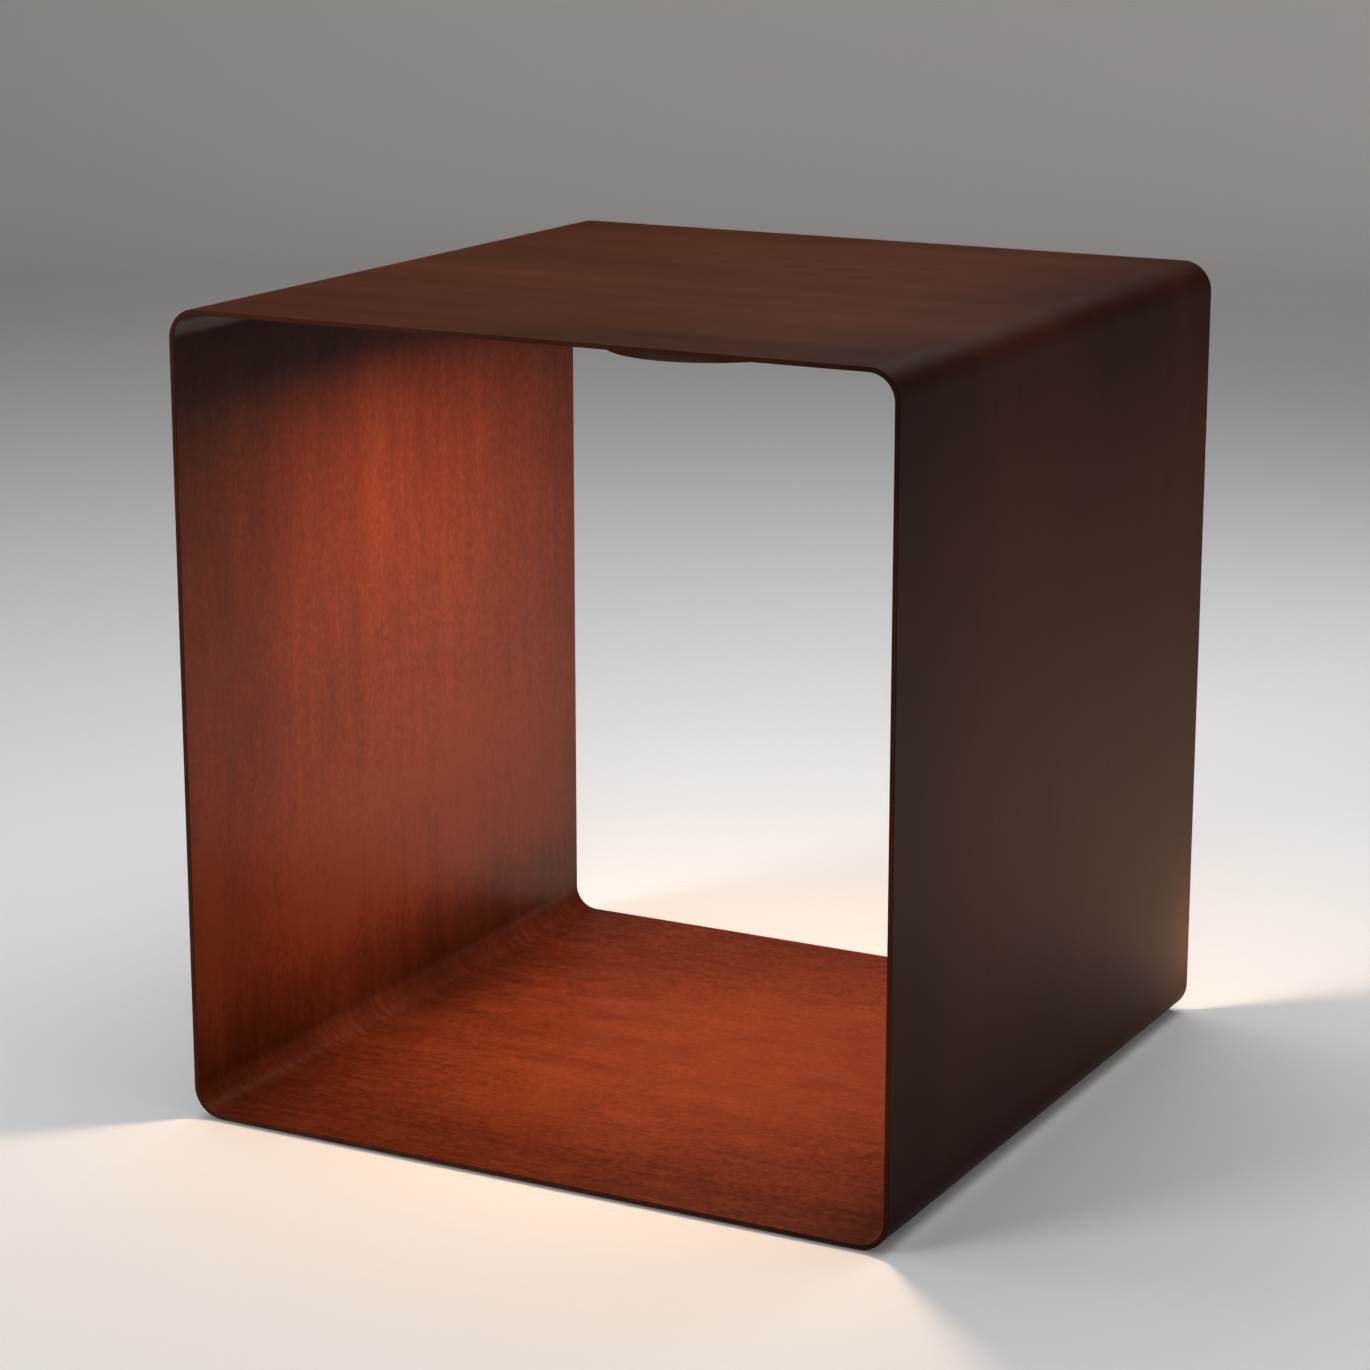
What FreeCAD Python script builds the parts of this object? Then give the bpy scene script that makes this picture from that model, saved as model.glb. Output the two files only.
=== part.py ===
import FreeCAD, Part
import math
import os

# Outdoor floor lamp: one thin sheet bent into a closed square loop that stands open to the
# front and the rear, with a shallow round lamp head under the middle of its top.
# Millimetres. +Z up, X across the loop, Y from the front opening (-Y) to the rear one (+Y).
# The origin is on the ground, under the middle of the lamp.

V = FreeCAD.Vector

# ---------------------------------------------------------------- driving dimensions
# loop
WIDTH = 375.0            # across the loop, outside
DEPTH = 375.0            # front rim to rear rim
HEIGHT = 400.0           # ground to top face
SHEET = 2.5              # sheet thickness
BEND_R = 15.0            # outside radius of the four bends
RIM_R = 0.45             # rounding of the cut rims
# pads
PAD_T = 1.0              # the shell's lower face is this far above the ground
PAD_R = 12.0
PAD_X = 148.0
PAD_Y = 148.0
# lamp head, in heights above the ground
SKIN = HEIGHT - SHEET    # underside of the top sheet
GASKET_T = 1.0
HEAD_R = 53.0
HEAD_LOW = SKIN - 28.0   # lowest face of the head
SEAM = HEAD_LOW + 4.5    # lower rim of the housing
BEZEL_TOP = SEAM - 0.2
WALL = 4.0
WEB_TOP = SKIN - GASKET_T
WEB_LOW = WEB_TOP - 3.0
CORE_R = 24.0            # raised seat of the light source
CORE_LOW = WEB_LOW - 2.0
# studs that carry the head
STUD_R = 2.0
STUD_PCR = 41.0
STUD_LOW = WEB_LOW - 5.5
STUD_ANGLES = (30.0, 150.0, 270.0)
# light source
PADT = 0.5               # thermal pad
BOARD_T = 1.6
BOARD_R = 35.0
BOARD_TOP = CORE_LOW - PADT
BOARD_LOW = BOARD_TOP - BOARD_T
SCREW_PCR = 21.0
SCREW_ANGLES = (90.0, 210.0, 330.0)
# diffuser stack in the bezel
SEAT = HEAD_LOW + 5.0
SEAL_T = 0.6
DIFF_T = 2.5
DIFF_R = 44.8
DIFF_LOW = SEAT + SEAL_T
DIFF_TOP = DIFF_LOW + DIFF_T
SKIRT_TOP = HEAD_LOW + 9.5
# twist lock between bezel and housing
LUG_LOW = HEAD_LOW + 7.7
LUG_TOP = HEAD_LOW + 9.3
LEDGE_LOW = SEAM + 0.8
LEDGE_TOP = LUG_LOW - 0.2
LUG_ARC = 24.0
LEDGE_ARC = 26.0
LOCK_ANGLES = (30.0, 150.0, 270.0)
# cable gland, its axis along Y at the back of the head
GLAND_Z = SKIN - 10.2
GLAND_FACE = 54.0        # flat seat on the housing


# ---------------------------------------------------------------- helpers
def cyl(r, z0, z1, x=0.0, y=0.0):
    return Part.makeCylinder(r, z1 - z0, V(x, y, z0), V(0, 0, 1))


def cyl_y(r, y0, y1, x=0.0, z=0.0):
    return Part.makeCylinder(r, y1 - y0, V(x, y0, z), V(0, 1, 0))


def ring(r0, r1, z0, z1, x=0.0, y=0.0):
    return cyl(r1, z0, z1, x, y).cut(cyl(r0, z0 - 1, z1 + 1, x, y))


def turned(profile):
    """Solid of revolution about Z from a closed (radius, height) profile."""
    pts = [V(r, 0, z) for r, z in profile]
    face = Part.Face(Part.makePolygon(pts + [pts[0]]))
    return face.revolve(V(0, 0, 0), V(0, 0, 1), 360)


def turned_y(profile, z):
    """Solid of revolution about the Y axis at height z from a closed (radius, y) profile."""
    pts = [V(r, y, z) for r, y in profile]
    face = Part.Face(Part.makePolygon(pts + [pts[0]]))
    return face.revolve(V(0, 0, z), V(0, 1, 0), 360)


def arc_block(r0, r1, z0, z1, mid, span):
    """Piece of a ring, span degrees wide about the angle mid."""
    s = Part.makeCylinder(r1, z1 - z0, V(0, 0, z0), V(0, 0, 1), span)
    s = s.cut(cyl(r0, z0 - 1, z1 + 1))
    s.rotate(V(0, 0, 0), V(0, 0, 1), mid - span / 2.0)
    return s


def hex_z(flats, z0, z1, x, y, turn=0.0):
    r = flats / math.sqrt(3.0)
    pts = []
    for k in range(7):
        a = math.radians(60.0 * k + turn)
        pts.append(V(x + r * math.cos(a), y + r * math.sin(a), z0))
    return Part.Face(Part.makePolygon(pts)).extrude(V(0, 0, z1 - z0))


def hex_y(flats, y0, y1, z):
    r = flats / math.sqrt(3.0)
    pts = []
    for k in range(7):
        a = math.radians(60.0 * k)
        pts.append(V(r * math.cos(a), y0, z + r * math.sin(a)))
    return Part.Face(Part.makePolygon(pts)).extrude(V(0, y1 - y0, 0))


def polar(r, angle):
    a = math.radians(angle)
    return r * math.cos(a), r * math.sin(a)


def chip(r0, r1, wide, z0, z1, angle):
    """Box that lies between two radii, turned to an angle."""
    b = Part.makeBox(r1 - r0, wide, z1 - z0, V(r0, -wide / 2.0, z0))
    b.rotate(V(0, 0, 0), V(0, 0, 1), angle)
    return b


def soften(shape, radius, keep):
    """Rounds the edges that keep() picks."""
    return shape.makeFillet(radius, [e for e in shape.Edges if keep(e)])


def circle_at(e, z, r):
    c = e.Curve
    return (
        isinstance(c, Part.Circle)
        and abs(c.Radius - r) < 1e-4
        and abs(c.Center.z - z) < 1e-4
        and abs(c.Center.x) < 1e-4
        and abs(c.Center.y) < 1e-4
    )


PARTS = {}


def keep(name, shape):
    shape = shape.removeSplitter()
    solids = shape.Solids
    assert solids and shape.isValid(), name
    PARTS[name] = solids[0] if len(solids) == 1 else Part.makeCompound(solids)
    print(name, len(solids), round(sum(s.Volume for s in solids), 2))


# ---------------------------------------------------------------- bent sheet loop
def loop_wire(w, z0, z1, r, y):
    """Rounded rectangle in the plane y, between heights z0 and z1."""
    h = w / 2.0
    k = r * (1.0 - math.sqrt(0.5))

    def line(a, b):
        return Part.LineSegment(V(a[0], y, a[1]), V(b[0], y, b[1])).toShape()

    def bend(a, b, c):
        return Part.Arc(V(a[0], y, a[1]), V(b[0], y, b[1]), V(c[0], y, c[1])).toShape()

    return Part.Wire(
        [
            line((-h + r, z0), (h - r, z0)),
            bend((h - r, z0), (h - k, z0 + k), (h, z0 + r)),
            line((h, z0 + r), (h, z1 - r)),
            bend((h, z1 - r), (h - k, z1 - k), (h - r, z1)),
            line((h - r, z1), (-h + r, z1)),
            bend((-h + r, z1), (-h + k, z1 - k), (-h, z1 - r)),
            line((-h, z1 - r), (-h, z0 + r)),
            bend((-h, z0 + r), (-h + k, z0 + k), (-h + r, z0)),
        ]
    )


front = -DEPTH / 2.0
outer = Part.Face(loop_wire(WIDTH, PAD_T, HEIGHT, BEND_R, front)).extrude(V(0, DEPTH, 0))
inner = Part.Face(
    loop_wire(WIDTH - 2 * SHEET, PAD_T + SHEET, SKIN, BEND_R - SHEET, front - 5)
).extrude(V(0, DEPTH + 10, 0))
shell = outer.cut(inner)
shell = soften(
    shell,
    RIM_R,
    lambda e: abs(e.BoundBox.YMin - e.BoundBox.YMax) < 1e-6,
)
keep("sheet_shell", shell)

# four thin pads, set in from the rims
keep(
    "foot_pads",
    Part.makeCompound(
        [
            soften(
                cyl(PAD_R, 0, PAD_T, sx * PAD_X, sy * PAD_Y),
                0.3,
                lambda e: isinstance(e.Curve, Part.Circle) and abs(e.Curve.Center.z) < 1e-6,
            )
            for sx in (-1, 1)
            for sy in (-1, 1)
        ]
    ),
)

# ---------------------------------------------------------------- fixing of the head
studs, nuts, washers = [], [], []
for a in STUD_ANGLES:
    x, y = polar(STUD_PCR, a)
    s = cyl(STUD_R, STUD_LOW, SKIN, x, y).fuse(cyl(2.75, SKIN - 0.8, SKIN, x, y))
    s = s.removeSplitter()
    tip = [e for e in s.Edges if isinstance(e.Curve, Part.Circle) and abs(e.Curve.Center.z - STUD_LOW) < 1e-4]
    studs.append(s.makeChamfer(0.4, tip))
    washers.append(ring(2.15, 4.5, WEB_LOW - 0.8, WEB_LOW, x, y))
    n = hex_z(7.0, WEB_LOW - 4.0, WEB_LOW - 0.8, x, y, a)
    nuts.append(n.cut(cyl(STUD_R + 0.05, WEB_LOW - 5, WEB_LOW, x, y)))
keep("weld_studs", Part.makeCompound(studs))
keep("stud_washers", Part.makeCompound(washers))
keep("stud_nuts", Part.makeCompound(nuts))

gasket = ring(30.0, 50.0, WEB_TOP, SKIN)
for a in STUD_ANGLES:
    x, y = polar(STUD_PCR, a)
    gasket = gasket.cut(cyl(3.2, WEB_TOP - 1, SKIN + 1, x, y))
keep("head_gasket", gasket)

# ---------------------------------------------------------------- housing of the head
EARTH_X, EARTH_Y = 40.7, 9.3
EARTH_LOW = WEB_LOW - 4.5
housing = turned(
    [
        (0, CORE_LOW),
        (CORE_R, CORE_LOW),
        (CORE_R, WEB_LOW),
        (HEAD_R - WALL, WEB_LOW),
        (HEAD_R - WALL, SEAM),
        (HEAD_R - 0.3, SEAM),
        (HEAD_R, SEAM + 0.3),
        (HEAD_R, WEB_TOP - 0.8),
        (HEAD_R - 0.8, WEB_TOP),
        (0, WEB_TOP),
    ]
)
# threaded entry of the cable gland: a boss through the rear wall with a flat outer seat
housing = housing.fuse(cyl_y(7.6, HEAD_R - WALL - 4.5, GLAND_FACE, 0, GLAND_Z))
# earth boss under the web
housing = housing.fuse(cyl(4.5, EARTH_LOW, WEB_LOW + 0.5, EARTH_X, EARTH_Y))
# ledges and stops of the twist lock
for a in LOCK_ANGLES:
    housing = housing.fuse(arc_block(47.3, 49.4, LEDGE_LOW, LEDGE_TOP, a, LEDGE_ARC))
    housing = housing.fuse(arc_block(47.3, 49.4, LEDGE_LOW, SKIRT_TOP, a + 14.0, 3.0))
# holes: gland entry, studs, light source screws, earth screw
housing = housing.cut(cyl_y(6.0, 40.0, 60.0, 0, GLAND_Z))
for a in STUD_ANGLES:
    x, y = polar(STUD_PCR, a)
    housing = housing.cut(cyl(2.25, WEB_LOW - 1, WEB_TOP + 1, x, y))
for a in SCREW_ANGLES:
    x, y = polar(SCREW_PCR, a)
    housing = housing.cut(cyl(1.5, CORE_LOW - 1, CORE_LOW + 4.0, x, y))
housing = housing.cut(cyl(2.0, EARTH_LOW - 1, EARTH_LOW + 6.2, EARTH_X, EARTH_Y))
keep("head_housing", housing)

# ---------------------------------------------------------------- light source
pad = cyl(23.5, BOARD_TOP, CORE_LOW)
board = cyl(BOARD_R, BOARD_LOW, BOARD_TOP)
board = board.cut(Part.makeBox(10.0, 20.0, 5.0, V(-5.0, 26.0, BOARD_LOW - 1)))
for a in SCREW_ANGLES:
    x, y = polar(SCREW_PCR, a)
    pad = pad.cut(cyl(1.9, BOARD_TOP - 1, CORE_LOW + 1, x, y))
    board = board.cut(cyl(1.7, BOARD_LOW - 1, BOARD_TOP + 1, x, y))
keep("thermal_pad", pad)
keep("led_board", board)

leds = []
for count, r, start in ((4, 5.5, 45.0), (8, 12.0, 22.5)):
    for k in range(count):
        leds.append(chip(r - 1.5, r + 1.5, 3.0, BOARD_LOW - 0.7, BOARD_LOW, start + 360.0 * k / count))
keep("led_emitters", Part.makeCompound(leds))

keep(
    "driver_chips",
    Part.makeCompound(
        [
            chip(28.0, 33.0, 6.0, BOARD_LOW - 2.4, BOARD_LOW, 235.0),
            chip(28.5, 32.5, 5.0, BOARD_LOW - 1.6, BOARD_LOW, 205.0),
            chip(28.5, 32.5, 5.0, BOARD_LOW - 1.6, BOARD_LOW, 265.0),
        ]
    ),
)
caps = []
for a in (298.0, 318.0):
    x, y = polar(31.0, a)
    caps.append(cyl(2.5, BOARD_LOW - 4.4, BOARD_LOW, x, y))
keep("smoothing_capacitors", Part.makeCompound(caps))
keep("surge_varistor", chip(28.6, 31.8, 7.0, BOARD_LOW - 4.2, BOARD_LOW, 178.0))
fuse = Part.makeCylinder(1.2, 6.0, V(31.0, -3.0, BOARD_LOW - 1.2), V(0, 1, 0))
fuse.rotate(V(0, 0, 0), V(0, 0, 1), 152.0)
keep("line_fuse", fuse)

block = chip(27.4, 34.4, 12.0, BOARD_LOW - 4.2, BOARD_LOW, 55.0)
for dy in (-3.6, 0.0, 3.6):
    h = Part.makeCylinder(1.0, 4.0, V(31.0, dy, BOARD_LOW - 2.1), V(1, 0, 0))
    h.rotate(V(0, 0, 0), V(0, 0, 1), 55.0)
    block = block.cut(h)
keep("terminal_block", block)

# white cone from the light source to the diffuser
reflector = turned(
    [
        (17.0, BOARD_LOW - 1.0),
        (24.0, BOARD_LOW - 1.0),
        (24.0, BOARD_LOW - 4.9),
        (41.2, DIFF_TOP + 1.6),
        (42.2, DIFF_TOP + 1.6),
        (42.2, DIFF_TOP + 2.3),
        (25.0, BOARD_LOW - 4.4),
        (25.0, BOARD_LOW),
        (17.0, BOARD_LOW),
    ]
)
screws = []
for a in SCREW_ANGLES:
    x, y = polar(SCREW_PCR, a)
    reflector = reflector.cut(cyl(1.7, BOARD_LOW - 2, BOARD_LOW + 1, x, y))
    z = BOARD_LOW - 1.0
    s = cyl(2.75, z - 2.0, z, x, y).cut(hex_z(2.0, z - 2.1, z - 0.9, x, y, a))
    screws.append(s.fuse(cyl(1.45, z - 0.2, CORE_LOW + 3.4, x, y)).removeSplitter())
keep("reflector", reflector)
keep("board_screws", Part.makeCompound(screws))

# ---------------------------------------------------------------- protective earth
way = V(22.69 - EARTH_X, 21.95 - EARTH_Y, 0)
way.normalize()
tag_low = EARTH_LOW - 0.8
lead_z = tag_low - 0.7
tag = cyl(4.2, tag_low, EARTH_LOW, EARTH_X, EARTH_Y)
arm = Part.makeBox(6.5, 3.0, 0.8, V(0, -1.5, 0))
barrel = Part.makeCylinder(1.5, 4.0, V(4.6, 0, -0.7), V(1, 0, 0))
barrel = barrel.cut(Part.makeCylinder(0.9, 6.0, V(3.6, 0, -0.7), V(1, 0, 0)))
arm = arm.cut(Part.makeCylinder(0.9, 6.0, V(3.6, 0, -0.7), V(1, 0, 0)))
arm = arm.fuse(barrel)
turn = math.degrees(math.atan2(way.y, way.x))
arm.rotate(V(0, 0, 0), V(0, 0, 1), turn)
arm.translate(V(EARTH_X, EARTH_Y, tag_low))
tag = tag.fuse(arm).cut(cyl(2.1, tag_low - 1, EARTH_LOW + 1, EARTH_X, EARTH_Y))
keep("earth_tag", tag)
e = cyl(3.8, tag_low - 2.4, tag_low, EARTH_X, EARTH_Y)
slot = Part.makeBox(8.0, 0.9, 1.2, V(EARTH_X - 4.0, EARTH_Y - 0.45, tag_low - 2.5))
e = e.cut(slot).fuse(cyl(1.95, tag_low - 0.2, EARTH_LOW + 6.0, EARTH_X, EARTH_Y))
keep("earth_screw", e)
start = V(EARTH_X, EARTH_Y, lead_z) + way * 5.0
length = (V(22.69, 21.95, lead_z) - start).Length - 0.1
keep("earth_lead", Part.makeCylinder(0.85, length, start, way))

# ---------------------------------------------------------------- cable gland
Y0 = GLAND_FACE
keep("gland_washer", cyl_y(7.6, Y0, Y0 + 1.0, 0, GLAND_Z).cut(cyl_y(6.1, Y0 - 1, Y0 + 2, 0, GLAND_Z)))
Y1 = Y0 + 1.0            # hex seat
Y2 = Y1 + 4.5            # front of the hex
Y3 = Y2 + 7.5            # front end of the threaded nose
body = cyl_y(5.95, 45.0, Y1 + 0.5, 0, GLAND_Z).fuse(hex_y(15.0, Y1, Y2, GLAND_Z))
body = body.fuse(cyl_y(6.4, Y2 - 0.5, Y3, 0, GLAND_Z))
CAVITY = Y2 + 1.7        # start of the seal's seat
body = body.cut(cyl_y(4.05, 40.0, CAVITY + 0.5, 0, GLAND_Z)).cut(cyl_y(4.8, CAVITY, Y3 + 5, 0, GLAND_Z))
keep("gland_body", body)
NOSE = CAVITY + 7.0
LIP = 0.8                # the seal's thin lips reach into the holes before and behind it
keep(
    "gland_seal",
    cyl_y(4.75, CAVITY, NOSE, 0, GLAND_Z)
    .fuse(cyl_y(4.0, CAVITY - LIP, NOSE + LIP, 0, GLAND_Z))
    .cut(cyl_y(3.25, CAVITY - 3, NOSE + 3, 0, GLAND_Z)),
)
cap = hex_y(15.0, Y2 + 0.6, Y2 + 6.6, GLAND_Z).fuse(
    turned_y(
        [
            (0, Y2 + 0.6),
            (7.3, Y2 + 0.6),
            (7.3, Y2 + 8.2),
            (7.0, Y2 + 9.4),
            (6.3, Y2 + 10.6),
            (5.4, Y2 + 11.6),
            (4.7, Y2 + 12.1),
            (0, Y2 + 12.1),
        ],
        GLAND_Z,
    )
)
cap = cap.cut(cyl_y(6.45, Y2 - 1, NOSE, 0, GLAND_Z)).cut(cyl_y(4.05, Y2 - 1, Y2 + 20, 0, GLAND_Z))
keep("gland_cap", cap)

# ---------------------------------------------------------------- bezel, seals and diffuser
bezel = turned(
    [
        (43.0, HEAD_LOW),
        (HEAD_R - 0.9, HEAD_LOW),
        (HEAD_R - 0.26, HEAD_LOW + 0.26),
        (HEAD_R, HEAD_LOW + 0.9),
        (HEAD_R, BEZEL_TOP - 0.3),
        (HEAD_R - 0.3, BEZEL_TOP),
        (51.0, BEZEL_TOP),
        (51.0, BEZEL_TOP - 1.2),
        (49.6, BEZEL_TOP - 1.2),
        (49.6, BEZEL_TOP),
        (47.0, BEZEL_TOP),
        (47.0, SKIRT_TOP),
        (45.0, SKIRT_TOP),
        (45.0, DIFF_TOP + 0.85),
        (45.8, DIFF_TOP + 0.85),
        (45.8, DIFF_TOP - 0.05),
        (45.0, DIFF_TOP - 0.05),
        (45.0, SEAT),
        (40.0, SEAT),
    ]
)
for a in LOCK_ANGLES:
    bezel = bezel.fuse(arc_block(46.5, 48.6, LUG_LOW, LUG_TOP, a, LUG_ARC))
# three small holes in the lower face for a pin key
for a in (90.0, 210.0, 330.0):
    x, y = polar(47.5, a)
    bezel = bezel.cut(cyl(1.5, HEAD_LOW - 1, HEAD_LOW + 2.2, x, y))
keep("bezel_ring", bezel)
keep("bezel_gasket", ring(49.7, 50.9, BEZEL_TOP - 1.2, BEZEL_TOP + 0.1))
keep("diffuser_seal", ring(40.6, 44.8, SEAT, DIFF_LOW))
disc = cyl(DIFF_R, DIFF_LOW, DIFF_TOP)
disc = soften(disc, 0.4, lambda e: circle_at(e, DIFF_LOW, DIFF_R))
keep("diffuser", disc)
clip = ring(42.5, 45.7, DIFF_TOP, DIFF_TOP + 0.8)
keep("retaining_ring", clip.cut(Part.makeBox(60.0, 9.0, 3.0, V(0, -4.5, DIFF_TOP - 1))))

# ---------------------------------------------------------------- one file for each piece
os.makedirs("parts", exist_ok=True)
for name, shape in PARTS.items():
    shape.exportStep("parts/" + name + ".step")
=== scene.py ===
import math

import bmesh
import bpy
from mathutils import Matrix, Vector


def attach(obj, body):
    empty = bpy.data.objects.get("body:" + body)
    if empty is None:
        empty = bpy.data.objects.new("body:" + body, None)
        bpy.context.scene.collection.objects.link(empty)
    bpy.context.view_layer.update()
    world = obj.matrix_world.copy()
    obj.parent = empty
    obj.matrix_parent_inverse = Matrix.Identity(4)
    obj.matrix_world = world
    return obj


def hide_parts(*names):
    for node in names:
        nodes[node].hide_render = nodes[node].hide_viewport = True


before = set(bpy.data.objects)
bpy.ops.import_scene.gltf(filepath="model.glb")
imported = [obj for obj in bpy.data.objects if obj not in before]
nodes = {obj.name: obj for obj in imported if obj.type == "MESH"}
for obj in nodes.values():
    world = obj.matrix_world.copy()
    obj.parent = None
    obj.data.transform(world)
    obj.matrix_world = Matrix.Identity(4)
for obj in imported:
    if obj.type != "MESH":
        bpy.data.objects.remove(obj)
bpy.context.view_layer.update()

scene = bpy.context.scene

# ------------------------------------------------------------------ sizes, metres
WIDTH, DEPTH, HEIGHT = 0.375, 0.375, 0.400
SHEET, BEND_R, RIM_R, PAD_T = 0.0025, 0.015, 0.00045, 0.001
SKIN = HEIGHT - SHEET
HEAD_LOW = SKIN - 0.028
DIFF_LOW = HEAD_LOW + 0.0056


# ------------------------------------------------------------------ mesh helpers
def mesh_piece(name, verts, faces, normals=None):
    me = bpy.data.meshes.new(name)
    me.from_pydata(verts, [], faces)
    me.update()
    for p in me.polygons:
        p.use_smooth = True
    if normals:
        me.normals_split_custom_set_from_vertices(normals)
    ob = bpy.data.objects.new(name, me)
    scene.collection.objects.link(ob)
    return ob


def spaced(a, b, n):
    return [a + (b - a) * k / n for k in range(n + 1)]


# ------------------------------------------------------------------ bent sheet loop
def loop_points(inset, bend_steps=24, flat_steps=16):
    """Points and outward directions round the loop, at a depth below its outer skin."""
    w = WIDTH / 2
    cx = w - BEND_R
    lo, hi = PAD_T + BEND_R, HEIGHT - BEND_R
    r = BEND_R - inset
    out = []

    def flat(a, b, n):
        for k in range(flat_steps):
            t = k / flat_steps
            out.append((a[0] + (b[0] - a[0]) * t, a[1] + (b[1] - a[1]) * t, n[0], n[1]))

    def bend(c, start):
        for k in range(bend_steps):
            a = math.radians(start + 90.0 * k / bend_steps)
            out.append((c[0] + r * math.cos(a), c[1] + r * math.sin(a), math.cos(a), math.sin(a)))

    flat((-cx, PAD_T + inset), (cx, PAD_T + inset), (0, -1))
    bend((cx, lo), -90)
    flat((w - inset, lo), (w - inset, hi), (1, 0))
    bend((cx, hi), 0)
    flat((cx, HEIGHT - inset), (-cx, HEIGHT - inset), (0, 1))
    bend((-cx, hi), 90)
    flat((-w + inset, hi), (-w + inset, lo), (-1, 0))
    bend((-cx, lo), 180)
    return out


def rim_section(flat_steps=16, round_steps=5):
    """(inset, y, outward share, y share) once round the sheet's section."""
    y1, r, t = DEPTH / 2, RIM_R, SHEET
    pts = [(0.0, y, 1.0, 0.0) for y in spaced(-y1 + r, y1 - r, flat_steps)]
    for k in range(1, round_steps + 1):
        a = math.pi / 2 * k / round_steps
        pts.append((r - r * math.cos(a), y1 - r + r * math.sin(a), math.cos(a), math.sin(a)))
    for k in range(round_steps + 1):
        a = math.pi / 2 * k / round_steps
        pts.append((t - r + r * math.sin(a), y1 - r + r * math.cos(a), -math.sin(a), math.cos(a)))
    pts += [(t, y, -1.0, 0.0) for y in spaced(y1 - r, -y1 + r, flat_steps)[1:]]
    for k in range(1, round_steps + 1):
        a = math.pi / 2 * k / round_steps
        pts.append((t - r + r * math.cos(a), -y1 + r - r * math.sin(a), -math.cos(a), -math.sin(a)))
    for k in range(round_steps):
        a = math.pi / 2 * k / round_steps
        pts.append((r - r * math.sin(a), -y1 + r - r * math.cos(a), math.sin(a), -math.cos(a)))
    return pts


def make_shell():
    section = rim_section()
    verts, normals, loops = [], [], []
    for inset, y, share, ny in section:
        row = []
        for x, z, nx, nz in loop_points(inset):
            row.append(len(verts))
            verts.append((x, y, z))
            normals.append((nx * share, ny, nz * share))
        loops.append(row)
    faces, inner = [], []
    for j in range(len(loops)):
        k = (j + 1) % len(loops)
        a, b = loops[j], loops[k]
        n = len(a)
        for i in range(n):
            faces.append((a[i], b[i], b[(i + 1) % n], a[(i + 1) % n]))
            inner.append(section[j][0] == SHEET and section[k][0] == SHEET)
    ob = mesh_piece("sheet_loop", verts, faces, normals)
    for face, inside in zip(ob.data.polygons, inner):
        face.material_index = 1 if inside else 0
    return ob


shell = make_shell()
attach(shell, "lamp")
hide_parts("sheet_shell")


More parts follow.
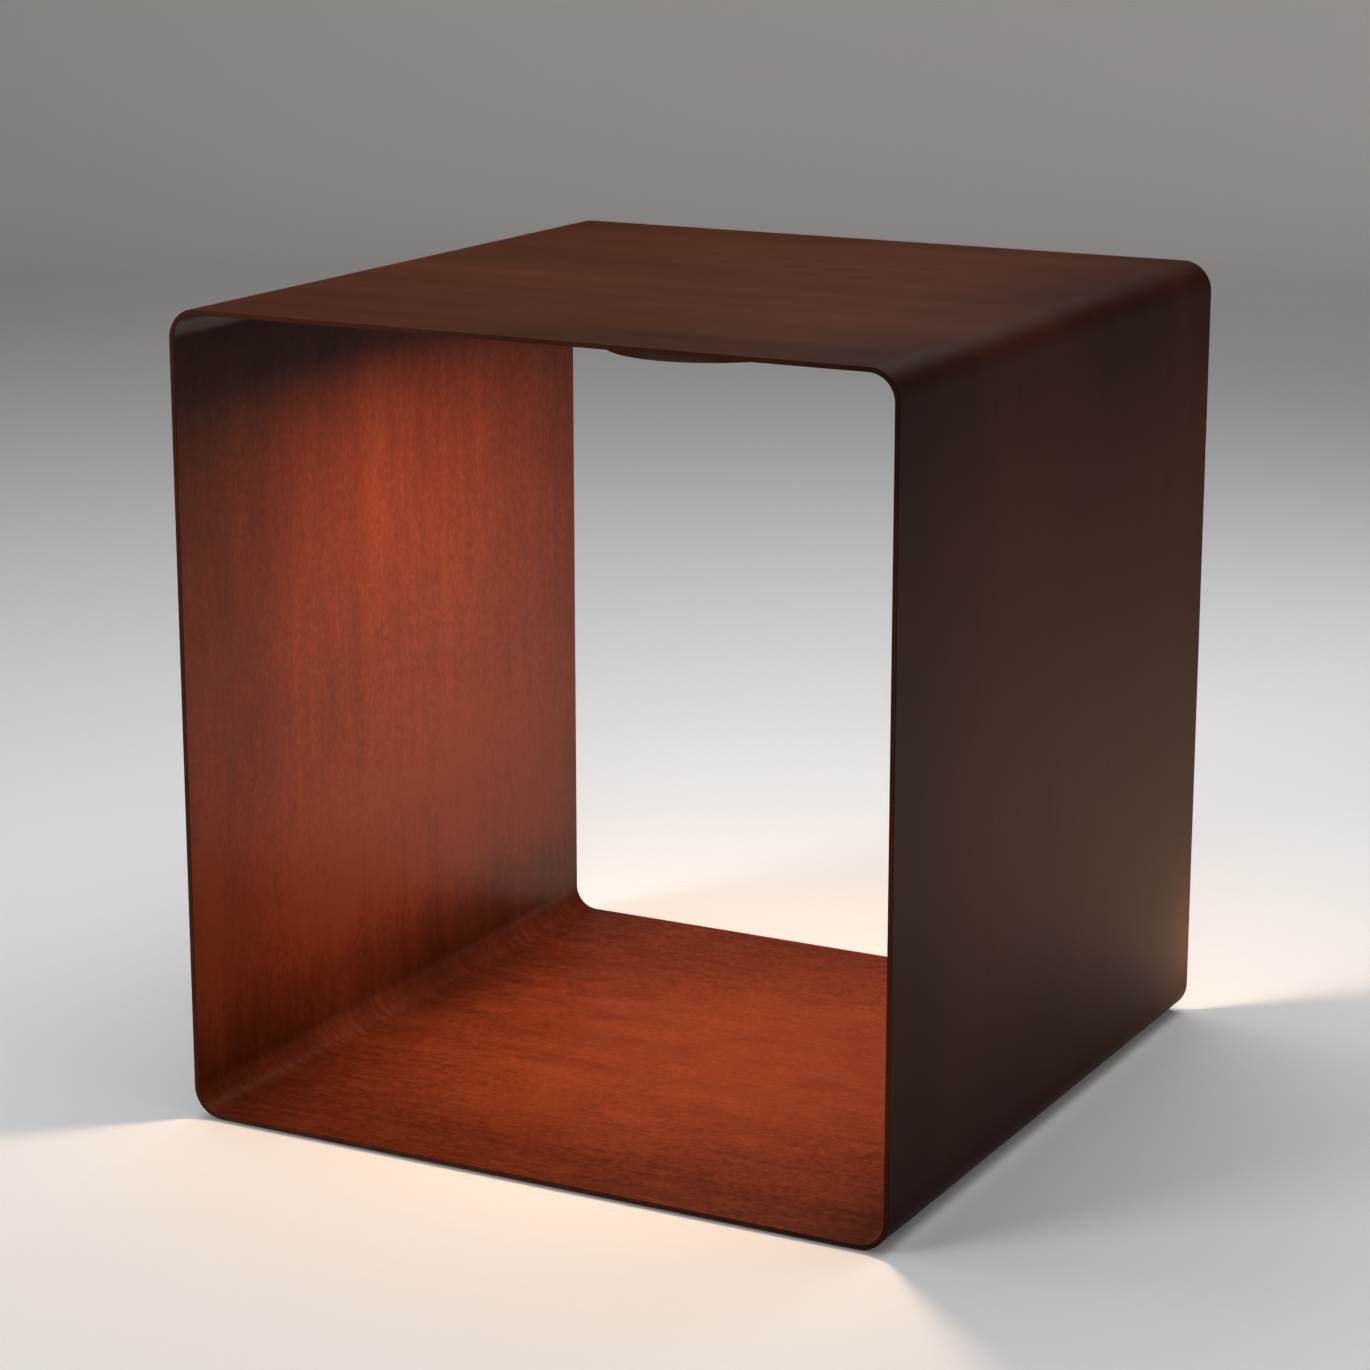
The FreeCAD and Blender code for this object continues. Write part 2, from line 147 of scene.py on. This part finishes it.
# ------------------------------------------------------------------ materials
class Look:
    """A node material, built from small steps."""

    def __init__(self, name):
        self.mat = bpy.data.materials.new(name)
        self.mat.use_nodes = True
        self.tree = self.mat.node_tree
        self.tree.nodes.clear()
        self.out = self.add("ShaderNodeOutputMaterial")
        self.bsdf = self.add("ShaderNodeBsdfPrincipled")
        self.link(self.bsdf.outputs["BSDF"], self.out.inputs["Surface"])

    def add(self, kind, **props):
        n = self.tree.nodes.new(kind)
        for k, v in props.items():
            setattr(n, k, v)
        return n

    def link(self, a, b):
        self.tree.links.new(a, b)

    def put(self, socket, value):
        if isinstance(value, bpy.types.NodeSocket):
            self.link(value, socket)
        else:
            socket.default_value = value

    def set(self, **values):
        for k, v in values.items():
            self.put(self.bsdf.inputs[k.replace("_", " ")], v)

    def place(self):
        return self.add("ShaderNodeTexCoord").outputs["Object"]

    def scaled(self, vector, scale, shift=(0, 0, 0)):
        n = self.add("ShaderNodeMapping")
        self.link(vector, n.inputs["Vector"])
        n.inputs["Scale"].default_value = scale
        n.inputs["Location"].default_value = shift
        return n.outputs["Vector"]

    def noise(self, vector, scale=1.0, detail=2.0, rough=0.5, bend=0.0, colour=False):
        n = self.add("ShaderNodeTexNoise")
        self.link(vector, n.inputs["Vector"])
        n.inputs["Scale"].default_value = scale
        n.inputs["Detail"].default_value = detail
        n.inputs["Roughness"].default_value = rough
        n.inputs["Distortion"].default_value = bend
        return n.outputs["Color" if colour else "Fac"]

    def cells(self, vector, scale=1.0, feature="F1", output="Distance"):
        n = self.add("ShaderNodeTexVoronoi", feature=feature)
        self.link(vector, n.inputs["Vector"])
        n.inputs["Scale"].default_value = scale
        return n.outputs[output]

    def maths(self, kind, a, b=0.0, c=0.0, clamp=False):
        n = self.add("ShaderNodeMath", operation=kind, use_clamp=clamp)
        for i, v in enumerate((a, b, c)):
            self.put(n.inputs[i], v)
        return n.outputs[0]

    def span(self, value, a, b, c=0.0, d=1.0, soft=True):
        n = self.add("ShaderNodeMapRange", interpolation_type="SMOOTHSTEP" if soft else "LINEAR")
        self.put(n.inputs["Value"], value)
        for k, v in zip(("From Min", "From Max", "To Min", "To Max"), (a, b, c, d)):
            n.inputs[k].default_value = v
        return n.outputs[0]

    def ramp(self, value, *stops):
        n = self.add("ShaderNodeValToRGB")
        self.put(n.inputs["Fac"], value)
        e = n.color_ramp.elements
        while len(e) < len(stops):
            e.new(0.5)
        for el, (at, colour) in zip(e, stops):
            el.position = at
            el.color = (*colour, 1.0)
        return n.outputs["Color"]

    def mix(self, share, a, b, kind="MIX"):
        n = self.add("ShaderNodeMix", data_type="RGBA", blend_type=kind)
        self.put(n.inputs["Factor"], share)
        for name, v in (("A", a), ("B", b)):
            socket = next(s for s in n.inputs if s.name == name and s.type == "RGBA")
            self.put(socket, v if isinstance(v, bpy.types.NodeSocket) else (*v, 1.0))
        return next(s for s in n.outputs if s.type == "RGBA")

    def axes(self, vector):
        n = self.add("ShaderNodeSeparateXYZ")
        self.link(vector, n.inputs[0])
        return n.outputs

    def bump(self, height, strength, distance):
        n = self.add("ShaderNodeBump")
        n.inputs["Strength"].default_value = strength
        n.inputs["Distance"].default_value = distance
        self.link(height, n.inputs["Height"])
        self.link(n.outputs["Normal"], self.bsdf.inputs["Normal"])

    def total(self, *terms):
        """Sum of (value - 0.5) * weight terms about 0.5."""
        s = 0.5
        for value, weight in terms:
            s = self.maths("ADD", s, self.maths("MULTIPLY", self.maths("SUBTRACT", value, 0.5), weight))
        return s


def lacquer(name, gloss, rough, rough_streak, grain, bend_shade_depth, bend_shade_reach, edge_shade_depth, edge_shade_shift, left_shade_share, rub_and_painted_light, colours):
    """Rubbed oxide lacquer: soft bands and short fibres that run round the loop, with painted shade toward the open
    edges and bends and a painted lighter band low on the walls.
    """
    m = Look(name)
    p = m.place()
    x, y, z = m.axes(p)
    cloud = m.noise(m.scaled(p, (5.0, 11.0, 5.0), (0.4, 2.3, 5.0)), detail=3.0, rough=0.5)
    patch = m.noise(m.scaled(p, (16.0, 36.0, 16.0), (7.4, 1.3, 2.0)), detail=3.0, rough=0.55)
    band = m.noise(m.scaled(p, (2.4, 70.0, 2.4), (1.1, 0.2, 4.7)), detail=2.0, rough=0.45)
    streak = m.noise(m.scaled(p, (34.0, 240.0, 34.0), (3.1, 0.7, 1.9)), detail=2.0, rough=0.55, bend=0.3)
    fibre = m.noise(m.scaled(p, (290.0, 400.0, 290.0), (1.3, 5.1, 2.2)), detail=2.0, rough=0.6, bend=0.5)
    dash = m.noise(m.scaled(p, (270.0, 460.0, 270.0), (9.3, 3.7, 6.1)), detail=1.0, rough=0.5, bend=0.5)
    speck = m.noise(m.scaled(p, (620.0, 900.0, 620.0), (2.7, 8.8, 0.6)), detail=1.0, rough=0.5)
    clump = m.span(patch, 0.36, 0.66)

    # the grain is strongest on the bottom sheet and faintest on the top one
    high = m.span(z, 0.380, 0.397, grain, 0.5 * grain)
    long = m.maths("MULTIPLY", m.span(z, 0.0040, 0.0080, 2.7, 1.0), high)
    fine = m.maths("MULTIPLY", m.span(z, 0.0040, 0.0080, 2.1, 1.0), high)
    tone = m.total(
        (cloud, 0.30), (patch, 0.16), (band, 0.30),
        (streak, m.maths("MULTIPLY", long, 0.22)), (fibre, m.maths("MULTIPLY", fine, 0.58)),
    )
    # painted light: the tone is raised in a band from 3 to 19 cm up the walls
    painted_low_light = m.maths("MULTIPLY", m.span(z, 0.030, 0.075, 0.0, rub_and_painted_light), m.span(z, 0.110, 0.190, 1.0, 0.0))
    tone = m.maths("ADD", tone, painted_low_light)
    colour = m.ramp(tone, *zip((0.30, 0.50, 0.70), colours))
    dark = m.maths("MULTIPLY", m.span(dash, 0.60, 0.72), clump)
    colour = m.mix(m.maths("MULTIPLY", dark, 0.36 * grain), colour, (0.024, 0.0065, 0.0036))
    light = m.maths("MULTIPLY", m.span(speck, 0.62, 0.74), m.span(streak, 0.45, 0.6))
    colour = m.mix(m.maths("MULTIPLY", light, 0.40 * grain), colour, (0.165, 0.055, 0.026))

    # painted shade: the colour is darkened in patches toward the open edges and toward the bends, and for the outer
    # finish less so on the left side
    edge = m.maths("SUBTRACT", DEPTH / 2, m.maths("ABSOLUTE", m.maths("SUBTRACT", y, edge_shade_shift)))
    from_side = m.maths("SUBTRACT", WIDTH / 2, m.maths("ABSOLUTE", x))
    mid_z = (PAD_T + HEIGHT) / 2
    from_flat = m.maths("SUBTRACT", HEIGHT - mid_z, m.maths("ABSOLUTE", m.maths("SUBTRACT", z, mid_z)))
    bend = m.maths("MAXIMUM", from_side, from_flat)
    patchy_shade = m.span(m.total((cloud, 0.6), (patch, 0.3), (streak, 0.2)), 0.3, 0.7, 1.25, 0.75)
    edge_shade = m.maths("MULTIPLY", m.span(edge, 0.0, 0.075, edge_shade_depth, 0.0), patchy_shade)
    bend_shade = m.maths("MULTIPLY", m.span(bend, 0.006, bend_shade_reach, bend_shade_depth, 0.0), patchy_shade)
    left_shade_scale = m.span(x, -0.09, 0.09, left_shade_share, 1.0)
    edge_shade = m.maths("MULTIPLY", edge_shade, left_shade_scale)
    bend_shade = m.maths("MULTIPLY", bend_shade, left_shade_scale)
    kept = m.maths("MULTIPLY", m.maths("SUBTRACT", 1.0, edge_shade), m.maths("SUBTRACT", 1.0, bend_shade))
    colour = m.mix(m.maths("SUBTRACT", 1.0, kept, clamp=True), colour, (0.012, 0.0034, 0.0020))

    dull = m.maths("MULTIPLY", m.span(m.total((streak, 0.8), (fibre, 0.8)), 0.50, 0.66), rough_streak)
    even = m.span(m.total((patch, 0.5), (band, 0.4), (fibre, 0.4)), 0.3, 0.7, rough - 0.02, rough + 0.02)
    # the lower bends are less polished than the flats
    polish = m.maths("MAXIMUM", m.span(bend, 0.008, 0.030, 0.5, 1.0), m.span(z, 0.05, 0.20))
    shine = m.maths("MULTIPLY", polish, gloss)
    m.set(Base_Color=colour, Roughness=m.maths("ADD", even, dull), IOR=1.5, Specular_IOR_Level=shine)
    m.bump(m.total((fibre, 0.3), (dash, 0.6), (speck, 0.6)), 0.14 * grain, 0.0001)
    return m.mat


def plain(name, dark, light, rough, scale=300.0, metal=0.0, grain=0.00005, gloss=0.5):
    """Even finish with fine grain, wide tone changes and faint rub marks."""
    m = Look(name)
    p = m.place()
    fine = m.noise(p, scale, 3.0, 0.6)
    wide = m.noise(m.scaled(p, (1, 1, 1), (3.0, 1.0, 2.0)), scale / 14.0, 3.0, 0.55)
    rub_and_painted_light = m.noise(m.scaled(p, (1.0, 1.0, 6.0), (0.3, 4.0, 1.0)), scale / 3.0, 2.0, 0.5)
    tone = m.total((fine, 0.55), (wide, 0.70), (rub_and_painted_light, 0.25))
    m.set(
        Base_Color=m.ramp(tone, (0.25, dark), (0.75, light)),
        Roughness=m.span(m.total((fine, 0.5), (wide, 0.6)), 0.3, 0.7, rough - 0.07, rough + 0.07),
        Metallic=metal,
        Specular_IOR_Level=gloss,
    )
    m.bump(m.total((fine, 1.0), (rub_and_painted_light, 0.4)), 0.3, grain)
    return m.mat


def cast():
    """Powder coat over a casting: dark brown, with a fine pebble."""
    m = Look("cast_head_finish")
    p = m.place()
    pebble = m.cells(p, 900.0)
    fine = m.noise(p, 1500.0, 2.0, 0.6)
    wide = m.noise(p, 38.0, 3.0, 0.5)
    tone = m.total((pebble, 0.30), (fine, 0.30), (wide, 0.70))
    m.set(
        Base_Color=m.ramp(
            tone, (0.25, (0.044, 0.0215, 0.0090)), (0.55, (0.068, 0.0330, 0.0140)), (0.80, (0.096, 0.0480, 0.0210))
        ),
        Roughness=m.span(m.total((pebble, 0.5), (wide, 0.5)), 0.3, 0.7, 0.36, 0.48),
        IOR=1.5,
        Specular_IOR_Level=0.30,
    )
    m.bump(m.total((pebble, 0.8), (fine, 0.5)), 0.22, 0.00006)
    return m.mat


def zinc():
    """Zinc plate: bright, with a faint bluish and straw tint."""
    m = Look("zinc_finish")
    p = m.place()
    fine = m.noise(p, 1600.0, 3.0, 0.6)
    tint = m.noise(p, 160.0, 2.0, 0.5)
    drawn = m.noise(m.scaled(p, (1.0, 1.0, 8.0), (0.2, 1.0, 3.0)), 420.0, 2.0, 0.5)
    hue = m.ramp(tint, (0.35, (0.50, 0.53, 0.57)), (0.52, (0.60, 0.60, 0.60)), (0.68, (0.66, 0.62, 0.52)))
    m.set(
        Base_Color=m.mix(m.span(fine, 0.35, 0.75, 0.0, 0.35), hue, (0.36, 0.36, 0.37)),
        Roughness=m.span(m.total((fine, 0.6), (drawn, 0.6)), 0.3, 0.7, 0.24, 0.44),
        Metallic=1.0,
    )
    m.bump(m.total((fine, 0.5), (drawn, 0.8)), 0.25, 0.00004)
    return m.mat


def earth_cover():
    """Green insulation with yellow bands."""
    m = Look("earth_finish")
    p = m.place()
    x, y, z = m.axes(p)
    run = m.maths("ADD", m.maths("ADD", m.maths("MULTIPLY", x, 760.0), m.maths("MULTIPLY", y, 620.0)), m.maths("MULTIPLY", z, 980.0))
    wave = m.maths("ADD", m.maths("SINE", run), m.maths("MULTIPLY", m.maths("SUBTRACT", m.noise(p, 600.0), 0.5), 0.2))
    fine = m.noise(p, 2200.0, 2.0, 0.5)
    green = m.ramp(fine, (0.3, (0.030, 0.165, 0.030)), (0.7, (0.045, 0.215, 0.040)))
    yellow = m.ramp(fine, (0.3, (0.62, 0.47, 0.030)), (0.7, (0.74, 0.58, 0.050)))
    m.set(
        Base_Color=m.mix(m.span(wave, -0.10, 0.10), green, yellow),
        Roughness=m.span(fine, 0.3, 0.7, 0.36, 0.46),
    )
    m.bump(fine, 0.2, 0.00003)
    return m.mat


def board_mask():
    """White solder mask over faint copper tracks."""
    m = Look("board_finish")
    p = m.place()
    x, y, z = m.axes(p)
    r = m.maths("SQRT", m.maths("ADD", m.maths("MULTIPLY", x, x), m.maths("MULTIPLY", y, y)))
    ring = m.span(m.maths("SINE", m.maths("MULTIPLY", r, 1250.0)), 0.55, 0.75)
    cross = m.span(m.maths("SINE", m.maths("MULTIPLY", m.maths("ARCTAN2", y, x), 9.0)), -0.9, -0.8)
    track = m.maths("MULTIPLY", ring, cross)
    fine = m.noise(p, 900.0, 3.0, 0.6)
    mask = m.ramp(fine, (0.3, (0.74, 0.75, 0.74)), (0.7, (0.82, 0.83, 0.82)))
    m.set(
        Base_Color=m.mix(m.maths("MULTIPLY", track, 0.5), mask, (0.60, 0.60, 0.55)),
        Roughness=m.span(fine, 0.3, 0.7, 0.30, 0.42),
    )
    m.bump(m.total((track, 1.0), (fine, 0.15)), 0.3, 0.00003)
    return m.mat


LACQUER = lacquer(
    "oxide_lacquer_finish", 0.036, 0.45, 0.02, 0.55, 0.58, 0.100, 0.42, 0.020, 0.20, 0.0,
    ((0.0370, 0.0094, 0.0038), (0.0560, 0.0148, 0.0062), (0.0790, 0.0224, 0.0094)),
)
# the inner copy has lighter, redder colours than the outer one: painted light for the lamp's glow inside the loop
LACQUER_INNER_LIT = lacquer(
    "oxide_lacquer_inner_lit_finish", 0.100, 0.31, 0.02, 0.95, 0.60, 0.064, 0.24, 0.030, 1.0, 0.18,
    ((0.0480, 0.0106, 0.0046), (0.0720, 0.0168, 0.0074), (0.1020, 0.0260, 0.0112)),
)
looks = {
    "cast_head": cast(),
    "epdm_rubber": plain("epdm_finish", (0.010, 0.010, 0.010), (0.026, 0.025, 0.024), 0.78, 900.0, gloss=0.25),
    "silicone": plain("silicone_finish", (0.46, 0.45, 0.43), (0.60, 0.59, 0.56), 0.55, 500.0),
    "zinc_steel": zinc(),
    "tinned_copper": plain("tin_finish", (0.58, 0.56, 0.52), (0.76, 0.74, 0.70), 0.32, 700.0, 1.0),
    "board": board_mask(),
    "emitter": plain("emitter_finish", (0.80, 0.52, 0.09), (0.94, 0.72, 0.20), 0.32, 900.0),
    "chip": plain("chip_finish", (0.016, 0.016, 0.018), (0.034, 0.034, 0.037), 0.52, 900.0),
    "can_aluminium": plain("can_finish", (0.60, 0.60, 0.61), (0.76, 0.76, 0.77), 0.30, 900.0, 1.0),
    "white_plastic": plain("white_finish", (0.76, 0.76, 0.75), (0.87, 0.87, 0.86), 0.45, 500.0),
    "earth_insulation": earth_cover(),
    "gland_nylon": plain("nylon_finish", (0.016, 0.012, 0.010), (0.036, 0.028, 0.024), 0.48, 900.0),
}


def opal():
    m = Look("opal_finish")
    p = m.place()
    x, y, z = m.axes(p)
    r = m.maths("SQRT", m.maths("ADD", m.maths("MULTIPLY", x, x), m.maths("MULTIPLY", y, y)))
    glow = m.span(r, 0.015, 0.045, 1.0, 0.62)
    grain = m.noise(p, 900.0, 2.0, 0.5)
    m.set(
        Base_Color=m.ramp(grain, (0.2, (0.82, 0.78, 0.7)), (0.8, (0.9, 0.87, 0.8))),
        Roughness=0.4,
        Emission_Color=m.mix(m.span(r, 0.010, 0.046, 1.0, 0.0), (1.0, 0.60, 0.30), (1.0, 0.78, 0.53)),
        Emission_Strength=m.maths("MULTIPLY", glow, LED_GLOW),
    )
    return m.mat


LED_GLOW = 2.2
OPAL = opal()

SLOT_OF = {
    "head_housing": "cast_head",
    "bezel_ring": "cast_head",
    "foot_pads": "epdm_rubber",
    "head_gasket": "epdm_rubber",
    "bezel_gasket": "epdm_rubber",
    "gland_washer": "epdm_rubber",
    "gland_seal": "epdm_rubber",
    "thermal_pad": "silicone",
    "diffuser_seal": "silicone",
    "weld_studs": "zinc_steel",
    "stud_washers": "zinc_steel",
    "stud_nuts": "zinc_steel",
    "board_screws": "zinc_steel",
    "earth_screw": "zinc_steel",
    "retaining_ring": "zinc_steel",
    "earth_tag": "tinned_copper",
    "led_board": "board",
    "led_emitters": "emitter",
    "driver_chips": "chip",
    "surge_varistor": "chip",
    "smoothing_capacitors": "can_aluminium",
    "line_fuse": "white_plastic",
    "terminal_block": "white_plastic",
    "reflector": "white_plastic",
    "earth_lead": "earth_insulation",
    "gland_body": "gland_nylon",
    "gland_cap": "gland_nylon",
    "diffuser": "opal",
}
looks["opal"] = OPAL
shell.data.materials.append(LACQUER)
shell.data.materials.append(LACQUER_INNER_LIT)
for node, slot in SLOT_OF.items():
    o = nodes[node]
    o.data.materials.clear()
    o.data.materials.append(looks[slot])

# ------------------------------------------------------------------ studio
def cyclorama():
    profile = [(0.0, 0.0)]
    flat, bend, top = 3.0, 1.2, 2.2
    for k in range(1, 14):
        profile.append((flat * k / 13, 0.0))
    for k in range(1, 25):
        a = math.pi / 2 * k / 24
        profile.append((flat + bend * math.sin(a), bend - bend * math.cos(a)))
    profile.append((flat + bend, top))
    n = 128
    verts = [(0.0, 0.0, 0.0)]
    for r, z in profile[1:]:
        for i in range(n):
            a = 2 * math.pi * i / n
            verts.append((r * math.cos(a), r * math.sin(a), z))
    faces = [(0, 1 + i, 1 + (i + 1) % n) for i in range(n)]
    for k in range(len(profile) - 2):
        b = 1 + k * n
        for i in range(n):
            j = (i + 1) % n
            faces.append((b + i, b + n + i, b + n + j, b + j))
    ob = mesh_piece("studio_floor", verts, faces)
    return ob


floor = cyclorama()


def floor_look():
    m = Look("studio_floor_paint")
    p = m.place()
    x, y, z = m.axes(p)
    fine = m.noise(p, 160.0, 3.0, 0.6)
    wide = m.noise(p, 1.6, 2.0, 0.5)
    pale = m.ramp(m.total((fine, 0.3), (wide, 0.5)), (0.2, (0.76, 0.76, 0.765)), (0.8, (0.80, 0.80, 0.805)))
    m.set(
        Base_Color=m.mix(m.span(z, 0.30, 0.95), pale, (0.10, 0.097, 0.094)),
        Roughness=0.7,
        Specular_IOR_Level=0.25,
    )
    return m.mat


floor.data.materials.append(floor_look())


def area(name, place, aim, size, power, colour, shape="SQUARE", spread=180.0):
    d = bpy.data.lights.new(name, "AREA")
    d.shape = shape
    d.size = size[0]
    d.size_y = size[1]
    d.energy = power
    d.color = colour
    d.spread = math.radians(spread)
    o = bpy.data.objects.new(name, d)
    o.location = place
    o.rotation_euler = (Vector(aim) - Vector(place)).to_track_quat("-Z", "Y").to_euler()
    o.visible_camera = False
    scene.collection.objects.link(o)
    return o


lamp_pieces = bpy.data.collections.new("lamp_pieces")
for o in [shell, *nodes.values()]:
    lamp_pieces.objects.link(o)
studio_pieces = bpy.data.collections.new("studio_pieces")
studio_pieces.objects.link(floor)

WHITE = (1.0, 1.0, 1.0)
area("overhead_softbox", (0.06, 0.36, 1.1), (0.06, 0.36, 0.0), (0.85, 1.5), 9.0, WHITE, "RECTANGLE")
rear = area("overhead_rear_softbox", (0.30, 0.55, 1.1), (0.30, 0.55, 0.0), (0.85, 1.5), 4.3, WHITE, "RECTANGLE")
rear.visible_glossy = False
area("side_softbox", (-1.0, 0.0, 2.0), (-1.0, 0.0, 0.0), (1.1, 1.1), 7.9, WHITE)
area("rear_left_softbox", (-1.0, 0.9, 2.0), (-1.0, 0.9, 0.0), (1.1, 1.1), 5.0, WHITE)
area("rear_right_softbox", (1.0, 0.9, 2.0), (1.0, 0.9, 0.0), (1.1, 1.1), 2.5, WHITE)
area("front_softbox", (-1.2, -1.85, 1.1), (0.0, 0.0, 0.15), (0.9, 0.9), 22.0, WHITE)
area("front_right_softbox", (0.9, -1.9, 1.1), (0.0, 0.0, 0.15), (0.9, 0.9), 6.9, WHITE)
fill = area("right_fill", (1.6, 1.0, 0.50), (0.1, 0.0, 0.20), (0.9, 0.9), 4.2, WHITE)
fill.light_linking.receiver_collection = lamp_pieces
fill = area("edge_fill", (0.24, 0.0, 0.012), (0.171, 0.0, 0.0), (0.37, 0.004), 0.0040, (1.0, 0.96, 0.91), "RECTANGLE", 9.0)
fill.light_linking.receiver_collection = studio_pieces
area("backdrop_softbox", (0.3, 3.2, 1.9), (-0.6, 3.9, 0.2), (1.6, 1.0), 3.9, (1.0, 0.89, 0.82), "RECTANGLE", 120.0)
area("backdrop_left_softbox", (-1.6, 2.6, 1.9), (-2.3, 3.2, 0.2), (1.6, 1.0), 1.8, (1.0, 0.86, 0.74), "RECTANGLE", 120.0)

# the lamp's own light: one share falls on the floor, one on the lamp, one comes back from the floor
LED_AT = (0.0, 0.0, DIFF_LOW - 0.0004)
BELOW = (0.0, 0.0, 0.0)
led = area("led_on_floor", LED_AT, BELOW, (0.078, 0.078), 1.85, (1.0, 0.715, 0.48), "DISK")
led.light_linking.receiver_collection = studio_pieces
led = area("led_on_lamp", LED_AT, BELOW, (0.078, 0.078), 4.05, (1.0, 0.48, 0.23), "DISK")
led.light_linking.receiver_collection = lamp_pieces
led = area("led_core", LED_AT, BELOW, (0.078, 0.078), 0.26, (1.0, 0.72, 0.50), "DISK", 60.0)
led.light_linking.receiver_collection = lamp_pieces
glow = area("floor_glow", (0.31, 0.62, 0.01), (0.31, 0.62, 1.0), (0.36, 0.78), 0.78, (1.0, 0.60, 0.31), "RECTANGLE")
glow.light_linking.receiver_collection = lamp_pieces
glow = area("corner_glow", (0.2300, 0.190, 0.030), (0.1875, 0.178, 0.036), (0.04, 0.04), 0.11, (0.66, 1.0, 1.0))
glow.visible_glossy = False
glow.light_linking.receiver_collection = lamp_pieces

world = bpy.data.worlds.new("studio_air")
world.use_nodes = True
bg = world.node_tree.nodes["Background"]
bg.inputs["Color"].default_value = (0.98, 0.99, 1.0, 1.0)
bg.inputs["Strength"].default_value = 0.02
scene.world = world

# ------------------------------------------------------------------ camera
cam_data = bpy.data.cameras.new("camera")
cam_data.lens = 97.4
cam_data.sensor_width = 36.0
cam = bpy.data.objects.new("camera", cam_data)
cam.location = (0.8309, -1.5872, 0.6542)
yaw, pitch = math.radians(-28.048), math.radians(14.255)
look = Vector((math.sin(yaw) * math.cos(pitch), math.cos(yaw) * math.cos(pitch), -math.sin(pitch)))
cam.rotation_euler = look.to_track_quat("-Z", "Y").to_euler()
scene.collection.objects.link(cam)
scene.camera = cam

scene.view_settings.view_transform = "Standard"
scene.view_settings.look = "None"
scene.view_settings.exposure = 0.0
